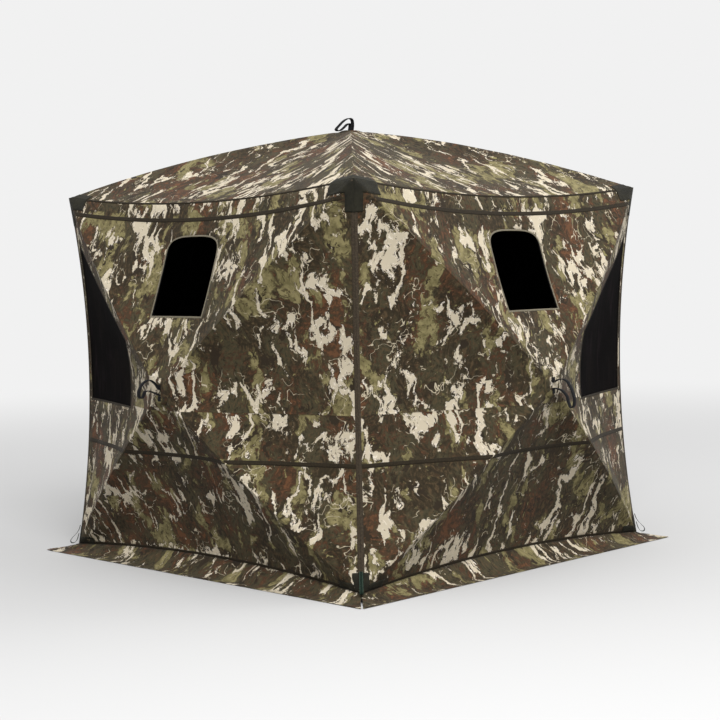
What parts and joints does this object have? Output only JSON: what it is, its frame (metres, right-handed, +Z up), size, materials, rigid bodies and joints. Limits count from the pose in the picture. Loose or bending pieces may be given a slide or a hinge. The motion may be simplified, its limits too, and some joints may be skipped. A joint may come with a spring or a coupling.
{
  "type": "pop-up ground blind",
  "caption": "Square pop-up hunting blind: stretched camouflage fabric walls and pyramid roof on sprung rods in hubs, with arched windows, mesh panels and a ground skirt.",
  "frame": {"origin": "centre of the bounding box's bottom face: on the ground, under the roof's hub", "axes": "+Z up; the front wall faces -Y, the left wall -X, the right wall with the door +X and the back wall +Y"},
  "size_m": [2.6208, 2.6212, 2.0455],
  "materials": {
    "camo_fabric": "matte woven polyester with a torn-bark camouflage print",
    "see_through_mesh": "fine dark knitted mesh with a faint print",
    "corner_patch": "heavy coated oxford weave",
    "black_webbing": "woven polypropylene",
    "black_lining": "black coated backing",
    "hub_nylon": "moulded glass-filled nylon",
    "rod_fibreglass": "pultruded fibreglass, satin",
    "zip_metal": "dark nickel"
  },
  "bodies": {
    "root": {"roof_panel": "camo_fabric", "ground_skirt": "camo_fabric", "wall_front": "camo_fabric", "wall_right": "camo_fabric", "wall_back": "camo_fabric", "wall_left": "camo_fabric", "mesh_window_front": "see_through_mesh", "mesh_window_right": "see_through_mesh", "mesh_window_back": "see_through_mesh", "mesh_window_left": "see_through_mesh", "top_corner_front_right": "corner_patch", "top_corner_back_right": "corner_patch", "top_corner_back_left": "corner_patch", "top_corner_front_left": "corner_patch", "base_corner_front_right": "corner_patch", "base_corner_back_right": "corner_patch", "base_corner_back_left": "corner_patch", "base_corner_front_left": "corner_patch"},
    "front_hub": {"hub_front": "hub_nylon", "pull_strap_front": "black_webbing"},
    "rod_front_upper_left": {"rod_front_upper_left": "rod_fibreglass"},
    "rod_front_upper_right": {"rod_front_upper_right": "rod_fibreglass"},
    "rod_front_lower_left": {"rod_front_lower_left": "rod_fibreglass"},
    "rod_front_lower_right": {"rod_front_lower_right": "rod_fibreglass"},
    "right_hub": {"hub_right": "hub_nylon", "pull_strap_right": "black_webbing"},
    "rod_right_upper_left": {"rod_right_upper_left": "rod_fibreglass"},
    "rod_right_upper_right": {"rod_right_upper_right": "rod_fibreglass"},
    "rod_right_lower_left": {"rod_right_lower_left": "rod_fibreglass"},
    "rod_right_lower_right": {"rod_right_lower_right": "rod_fibreglass"},
    "back_hub": {"hub_back": "hub_nylon", "pull_strap_back": "black_webbing"},
    "rod_back_upper_left": {"rod_back_upper_left": "rod_fibreglass"},
    "rod_back_upper_right": {"rod_back_upper_right": "rod_fibreglass"},
    "rod_back_lower_left": {"rod_back_lower_left": "rod_fibreglass"},
    "rod_back_lower_right": {"rod_back_lower_right": "rod_fibreglass"},
    "left_hub": {"hub_left": "hub_nylon", "pull_strap_left": "black_webbing"},
    "rod_left_upper_left": {"rod_left_upper_left": "rod_fibreglass"},
    "rod_left_upper_right": {"rod_left_upper_right": "rod_fibreglass"},
    "rod_left_lower_left": {"rod_left_lower_left": "rod_fibreglass"},
    "rod_left_lower_right": {"rod_left_lower_right": "rod_fibreglass"},
    "roof_hub": {"hub_roof": "hub_nylon", "pull_strap_roof": "black_webbing"},
    "rod_roof_front_left": {"rod_roof_front_left": "rod_fibreglass"},
    "rod_roof_front_right": {"rod_roof_front_right": "rod_fibreglass"},
    "rod_roof_back_left": {"rod_roof_back_left": "rod_fibreglass"},
    "rod_roof_back_right": {"rod_roof_back_right": "rod_fibreglass"},
    "front_trim": {"window_trim_front": "black_webbing"},
    "front_cover": {"window_cover_front": "black_lining"},
    "right_trim": {"window_trim_right": "black_webbing"},
    "right_cover": {"window_cover_right": "black_lining"},
    "back_trim": {"window_trim_back": "black_webbing"},
    "back_cover": {"window_cover_back": "black_lining"},
    "left_trim": {"window_trim_left": "black_webbing"},
    "left_cover": {"window_cover_left": "black_lining"},
    "door_frame": {"door_frame": "black_webbing"},
    "door": {"door_panel": "camo_fabric"},
    "door_zip": {"door_zip_slider": "zip_metal"}
  },
  "joints": [
    {"name": "front_pop", "type": "slide", "parent": "root", "child": "front_hub", "axis": [0, -1, 0], "range_m": [-0.45, 0], "deforming": ["wall_front", "mesh_window_front"]},
    {"name": "rod_front_upper_left_pivot", "type": "hinge", "parent": "front_hub", "child": "rod_front_upper_left", "pos_m": [-0.01915, -1.1725, 0.83259], "axis": [0.6765, 0, 0.7364], "range_deg": [0, 20.39]},
    {"name": "rod_front_upper_right_pivot", "type": "hinge", "parent": "front_hub", "child": "rod_front_upper_right", "pos_m": [0.01915, -1.1725, 0.83259], "axis": [0.6765, 0, -0.7364], "range_deg": [0, 20.39]},
    {"name": "rod_front_lower_left_pivot", "type": "hinge", "parent": "front_hub", "child": "rod_front_lower_left", "pos_m": [-0.02006, -1.1725, 0.79846], "axis": [-0.636, 0, 0.7717], "range_deg": [0, 21.36]},
    {"name": "rod_front_lower_right_pivot", "type": "hinge", "parent": "front_hub", "child": "rod_front_lower_right", "pos_m": [0.02006, -1.1725, 0.79846], "axis": [-0.636, 0, -0.7717], "range_deg": [0, 21.36]},
    {"name": "right_pop", "type": "slide", "parent": "root", "child": "right_hub", "axis": [1, 0, 0], "range_m": [-0.45, 0], "deforming": ["wall_right", "mesh_window_right"]},
    {"name": "rod_right_upper_left_pivot", "type": "hinge", "parent": "right_hub", "child": "rod_right_upper_left", "pos_m": [1.1725, -0.01915, 0.83259], "axis": [0, 0.6765, 0.7364], "range_deg": [0, 20.39]},
    {"name": "rod_right_upper_right_pivot", "type": "hinge", "parent": "right_hub", "child": "rod_right_upper_right", "pos_m": [1.1725, 0.01915, 0.83259], "axis": [0, 0.6765, -0.7364], "range_deg": [0, 20.39]},
    {"name": "rod_right_lower_left_pivot", "type": "hinge", "parent": "right_hub", "child": "rod_right_lower_left", "pos_m": [1.1725, -0.02006, 0.79846], "axis": [0, -0.636, 0.7717], "range_deg": [0, 21.36]},
    {"name": "rod_right_lower_right_pivot", "type": "hinge", "parent": "right_hub", "child": "rod_right_lower_right", "pos_m": [1.1725, 0.02006, 0.79846], "axis": [0, -0.636, -0.7717], "range_deg": [0, 21.36]},
    {"name": "back_pop", "type": "slide", "parent": "root", "child": "back_hub", "axis": [0, 1, 0], "range_m": [-0.45, 0], "deforming": ["wall_back", "mesh_window_back"]},
    {"name": "rod_back_upper_left_pivot", "type": "hinge", "parent": "back_hub", "child": "rod_back_upper_left", "pos_m": [0.01915, 1.1725, 0.83259], "axis": [-0.6765, 0, 0.7364], "range_deg": [0, 20.39]},
    {"name": "rod_back_upper_right_pivot", "type": "hinge", "parent": "back_hub", "child": "rod_back_upper_right", "pos_m": [-0.01915, 1.1725, 0.83259], "axis": [-0.6765, 0, -0.7364], "range_deg": [0, 20.39]},
    {"name": "rod_back_lower_left_pivot", "type": "hinge", "parent": "back_hub", "child": "rod_back_lower_left", "pos_m": [0.02006, 1.1725, 0.79846], "axis": [0.636, 0, 0.7717], "range_deg": [0, 21.36]},
    {"name": "rod_back_lower_right_pivot", "type": "hinge", "parent": "back_hub", "child": "rod_back_lower_right", "pos_m": [-0.02006, 1.1725, 0.79846], "axis": [0.636, 0, -0.7717], "range_deg": [0, 21.36]},
    {"name": "left_pop", "type": "slide", "parent": "root", "child": "left_hub", "axis": [-1, 0, 0], "range_m": [-0.45, 0], "deforming": ["wall_left", "mesh_window_left"]},
    {"name": "rod_left_upper_left_pivot", "type": "hinge", "parent": "left_hub", "child": "rod_left_upper_left", "pos_m": [-1.1725, 0.01915, 0.83259], "axis": [0, -0.6765, 0.7364], "range_deg": [0, 20.39]},
    {"name": "rod_left_upper_right_pivot", "type": "hinge", "parent": "left_hub", "child": "rod_left_upper_right", "pos_m": [-1.1725, -0.01915, 0.83259], "axis": [0, -0.6765, -0.7364], "range_deg": [0, 20.39]},
    {"name": "rod_left_lower_left_pivot", "type": "hinge", "parent": "left_hub", "child": "rod_left_lower_left", "pos_m": [-1.1725, 0.02006, 0.79846], "axis": [0, 0.636, 0.7717], "range_deg": [0, 21.36]},
    {"name": "rod_left_lower_right_pivot", "type": "hinge", "parent": "left_hub", "child": "rod_left_lower_right", "pos_m": [-1.1725, -0.02006, 0.79846], "axis": [0, 0.636, -0.7717], "range_deg": [0, 21.36]},
    {"name": "roof_pop", "type": "slide", "parent": "root", "child": "roof_hub", "axis": [0, 0, 1], "range_m": [-0.54, 0], "deforming": ["roof_panel"]},
    {"name": "rod_roof_front_left_pivot", "type": "hinge", "parent": "roof_hub", "child": "rod_roof_front_left", "pos_m": [-0.01838, -0.01838, 1.96], "axis": [-0.7071, 0.7071, 0], "range_deg": [0, 23.36]},
    {"name": "rod_roof_front_right_pivot", "type": "hinge", "parent": "roof_hub", "child": "rod_roof_front_right", "pos_m": [0.01838, -0.01838, 1.96], "axis": [-0.7071, -0.7071, 0], "range_deg": [0, 23.36]},
    {"name": "rod_roof_back_left_pivot", "type": "hinge", "parent": "roof_hub", "child": "rod_roof_back_left", "pos_m": [-0.01838, 0.01838, 1.96], "axis": [0.7071, 0.7071, 0], "range_deg": [0, 23.36]},
    {"name": "rod_roof_back_right_pivot", "type": "hinge", "parent": "roof_hub", "child": "rod_roof_back_right", "pos_m": [0.01838, 0.01838, 1.96], "axis": [0.7071, -0.7071, 0], "range_deg": [0, 23.36]},
    {"name": "front_trim_turn", "type": "hinge", "parent": "root", "child": "front_trim", "pos_m": [0, -0.9375, 1.635], "axis": [1, 0, 0], "range_deg": [0, 32.81]},
    {"name": "front_cover_fold", "type": "hinge", "parent": "front_trim", "child": "front_cover", "pos_m": [0, -1.07285, 1.122], "axis": [1, 0, 0], "range_deg": [0, 163]},
    {"name": "right_trim_turn", "type": "hinge", "parent": "root", "child": "right_trim", "pos_m": [0.9375, 0, 1.635], "axis": [0, 1, 0], "range_deg": [0, 32.81]},
    {"name": "right_cover_fold", "type": "hinge", "parent": "right_trim", "child": "right_cover", "pos_m": [1.07285, 0, 1.122], "axis": [0, 1, 0], "range_deg": [-163, 0]},
    {"name": "back_trim_turn", "type": "hinge", "parent": "root", "child": "back_trim", "pos_m": [0, 0.9375, 1.635], "axis": [-1, 0, 0], "range_deg": [0, 32.81]},
    {"name": "back_cover_fold", "type": "hinge", "parent": "back_trim", "child": "back_cover", "pos_m": [0, 1.07285, 1.122], "axis": [-1, 0, 0], "range_deg": [-163, 0]},
    {"name": "left_trim_turn", "type": "hinge", "parent": "root", "child": "left_trim", "pos_m": [-0.9375, 0, 1.635], "axis": [0, -1, 0], "range_deg": [0, 32.81]},
    {"name": "left_cover_fold", "type": "hinge", "parent": "left_trim", "child": "left_cover", "pos_m": [-1.07285, 0, 1.122], "axis": [0, -1, 0], "range_deg": [0, 163]},
    {"name": "door_frame_turn", "type": "hinge", "parent": "root", "child": "door_frame", "pos_m": [0.9105, 0.91, 0.84], "axis": [0, 0, 1], "range_deg": [-29.67, 0]},
    {"name": "door_swing", "type": "hinge", "parent": "door_frame", "child": "door", "pos_m": [0.96579, 0.855, 0.84], "axis": [0, 0, 1], "range_deg": [0, 110]},
    {"name": "door_zip_run", "type": "slide", "parent": "door_frame", "child": "door_zip", "axis": [0.2157, -0.7585, -0.615], "range_m": [0, 0.643]}
  ],
  "couplings": [
    {"joint": "rod_front_upper_left_pivot", "follows": "front_pop", "rad_per_m": -0.77932},
    {"joint": "rod_front_upper_right_pivot", "follows": "front_pop", "rad_per_m": -0.77932},
    {"joint": "rod_front_lower_left_pivot", "follows": "front_pop", "rad_per_m": -0.81664},
    {"joint": "rod_front_lower_right_pivot", "follows": "front_pop", "rad_per_m": -0.81664},
    {"joint": "rod_right_upper_left_pivot", "follows": "right_pop", "rad_per_m": -0.77932},
    {"joint": "rod_right_upper_right_pivot", "follows": "right_pop", "rad_per_m": -0.77932},
    {"joint": "rod_right_lower_left_pivot", "follows": "right_pop", "rad_per_m": -0.81664},
    {"joint": "rod_right_lower_right_pivot", "follows": "right_pop", "rad_per_m": -0.81664},
    {"joint": "rod_back_upper_left_pivot", "follows": "back_pop", "rad_per_m": -0.77932},
    {"joint": "rod_back_upper_right_pivot", "follows": "back_pop", "rad_per_m": -0.77932},
    {"joint": "rod_back_lower_left_pivot", "follows": "back_pop", "rad_per_m": -0.81664},
    {"joint": "rod_back_lower_right_pivot", "follows": "back_pop", "rad_per_m": -0.81664},
    {"joint": "rod_left_upper_left_pivot", "follows": "left_pop", "rad_per_m": -0.77932},
    {"joint": "rod_left_upper_right_pivot", "follows": "left_pop", "rad_per_m": -0.77932},
    {"joint": "rod_left_lower_left_pivot", "follows": "left_pop", "rad_per_m": -0.81664},
    {"joint": "rod_left_lower_right_pivot", "follows": "left_pop", "rad_per_m": -0.81664},
    {"joint": "rod_roof_front_left_pivot", "follows": "roof_pop", "rad_per_m": -0.74518},
    {"joint": "rod_roof_front_right_pivot", "follows": "roof_pop", "rad_per_m": -0.74518},
    {"joint": "rod_roof_back_left_pivot", "follows": "roof_pop", "rad_per_m": -0.74518},
    {"joint": "rod_roof_back_right_pivot", "follows": "roof_pop", "rad_per_m": -0.74518},
    {"joint": "front_trim_turn", "follows": "front_pop", "rad_per_m": -1.2608},
    {"joint": "right_trim_turn", "follows": "right_pop", "rad_per_m": -1.2608},
    {"joint": "back_trim_turn", "follows": "back_pop", "rad_per_m": -1.2608},
    {"joint": "left_trim_turn", "follows": "left_pop", "rad_per_m": -1.2608},
    {"joint": "door_frame_turn", "follows": "right_pop", "rad_per_m": 1.1389}
  ]
}
